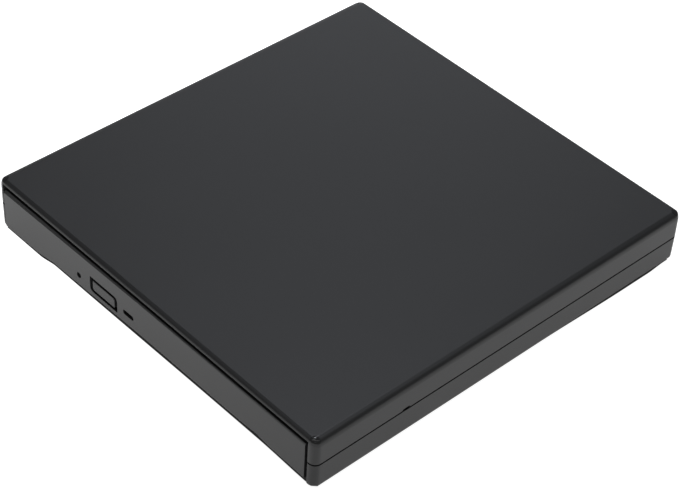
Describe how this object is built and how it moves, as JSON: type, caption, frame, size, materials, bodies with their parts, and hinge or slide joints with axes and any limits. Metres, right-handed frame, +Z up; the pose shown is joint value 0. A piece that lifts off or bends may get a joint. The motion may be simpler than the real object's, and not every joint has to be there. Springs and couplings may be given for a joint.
{
  "type": "external disc drive",
  "caption": "Flat square external disc drive: two-part matte black case, sliding disc tray with eject button, spindle, pickup sled and rear sockets.",
  "frame": {"origin": "middle of the case on the surface that the rubber feet stand on", "axes": "+X right seen from the front, -Y towards the bezel at the front, +Z up"},
  "size_m": [0.14, 0.145, 0.018],
  "materials": {
    "case_plastic": "fine matte black",
    "tray_plastic": "matte black",
    "white_plastic": "satin",
    "clear_plastic": "clear",
    "chip_plastic": "matte black",
    "circuit_board": "solder resist",
    "rubber": "matte",
    "sheet_steel": "zinc plated",
    "polished_steel": "polished",
    "screw_steel": "black zinc",
    "cast_metal": "die cast",
    "copper": "enamelled wire",
    "lens_glass": "coated"
  },
  "bodies": {
    "case": {"top_cover": "case_plastic", "bottom_cover": "case_plastic", "rubber_feet": "rubber", "case_screws": "screw_steel", "drive_screws": "screw_steel", "bridge_board": "circuit_board", "bridge_chips": "chip_plastic", "board_screws": "screw_steel", "usb_socket": "sheet_steel", "power_socket": "chip_plastic", "sata_socket": "chip_plastic", "drive_chassis": "sheet_steel", "drive_lid": "sheet_steel", "lid_screws": "screw_steel", "left_rail_guide": "white_plastic", "right_rail_guide": "white_plastic", "rear_board": "circuit_board", "sata_plug": "chip_plastic", "latch_post": "sheet_steel", "flex_cable": "white_plastic"},
    "left_rail": {"left_rail": "sheet_steel"},
    "right_rail": {"right_rail": "sheet_steel"},
    "tray": {"disc_tray": "tray_plastic", "front_bezel": "case_plastic", "led_light_pipe": "clear_plastic", "front_board": "circuit_board", "eject_switch": "sheet_steel", "status_led": "clear_plastic", "tray_bottom_plate": "sheet_steel", "tray_screws": "screw_steel", "main_board": "circuit_board", "main_chips": "chip_plastic", "traverse_plate": "sheet_steel", "damper_bushes": "rubber", "motor_base": "sheet_steel", "motor_stator": "copper", "main_guide_rod": "polished_steel", "sub_guide_rod": "polished_steel", "sled_motor": "sheet_steel", "latch_solenoid": "copper", "latch_pivot": "polished_steel", "ejector_spring": "polished_steel"},
    "button": {"eject_button": "case_plastic"},
    "spindle": {"rotor": "sheet_steel", "turntable": "tray_plastic", "turntable_pad": "rubber"},
    "pawl_1": {"pawl_1": "white_plastic"},
    "pawl_2": {"pawl_2": "white_plastic"},
    "pawl_3": {"pawl_3": "white_plastic"},
    "sled": {"pickup_sled": "cast_metal", "pickup_cover": "sheet_steel", "sled_nut": "white_plastic"},
    "lens": {"lens_holder": "chip_plastic", "objective_lens": "lens_glass"},
    "screw": {"lead_screw": "polished_steel"},
    "latch": {"latch_lever": "white_plastic"},
    "ejector": {"ejector_rod": "white_plastic"}
  },
  "joints": [
    {"name": "tray_slide", "type": "slide", "parent": "case", "child": "tray", "axis": [0, -1, 0], "range_m": [0, 0.124], "deforming": ["flex_cable"]},
    {"name": "left_rail_slide", "type": "slide", "parent": "case", "child": "left_rail", "axis": [0, -1, 0], "range_m": [0, 0.062]},
    {"name": "right_rail_slide", "type": "slide", "parent": "case", "child": "right_rail", "axis": [0, -1, 0], "range_m": [0, 0.062]},
    {"name": "button_press", "type": "slide", "parent": "tray", "child": "button", "axis": [0, 1, 0], "range_m": [0, 0.0006], "stiffness_N_per_m": 1500},
    {"name": "spindle_spin", "type": "hinge", "parent": "tray", "child": "spindle", "pos_m": [0, -0.0079, 0.008], "axis": [0, 0, 1], "continuous": true},
    {"name": "pawl_1_slide", "type": "slide", "parent": "spindle", "child": "pawl_1", "axis": [0, -1, 0], "range_m": [0, 0.0006], "stiffness_N_per_m": 400},
    {"name": "pawl_2_slide", "type": "slide", "parent": "spindle", "child": "pawl_2", "axis": [0.866, 0.5, 0], "range_m": [0, 0.0006], "stiffness_N_per_m": 400},
    {"name": "pawl_3_slide", "type": "slide", "parent": "spindle", "child": "pawl_3", "axis": [-0.866, 0.5, 0], "range_m": [0, 0.0006], "stiffness_N_per_m": 400},
    {"name": "sled_slide", "type": "slide", "parent": "tray", "child": "sled", "axis": [0.7071, -0.7071, 0], "range_m": [0, 0.032]},
    {"name": "lens_focus", "type": "slide", "parent": "sled", "child": "lens", "axis": [0, 0, 1], "range_m": [-0.0004, 0.0004], "stiffness_N_per_m": 100},
    {"name": "screw_turn", "type": "hinge", "parent": "tray", "child": "screw", "pos_m": [-0.01414, -0.02204, 0.007], "axis": [0.7071, -0.7071, 0], "continuous": true},
    {"name": "latch_turn", "type": "hinge", "parent": "tray", "child": "latch", "pos_m": [-0.042, -0.0659, 0.005], "axis": [0, 0, -1], "range_deg": [0, 15], "stiffness_Nm_per_rad": 0.002},
    {"name": "ejector_slide", "type": "slide", "parent": "tray", "child": "ejector", "axis": [0, 1, 0], "range_m": [0, 0.01], "deforming": ["ejector_spring"]}
  ],
  "couplings": [
    {"joint": "left_rail_slide", "follows": "tray_slide", "ratio": 0.5},
    {"joint": "right_rail_slide", "follows": "tray_slide", "ratio": 0.5},
    {"joint": "ejector_slide", "follows": "tray_slide", "ratio": 0.080645},
    {"joint": "screw_turn", "follows": "sled_slide", "rad_per_m": 2094.4}
  ]
}
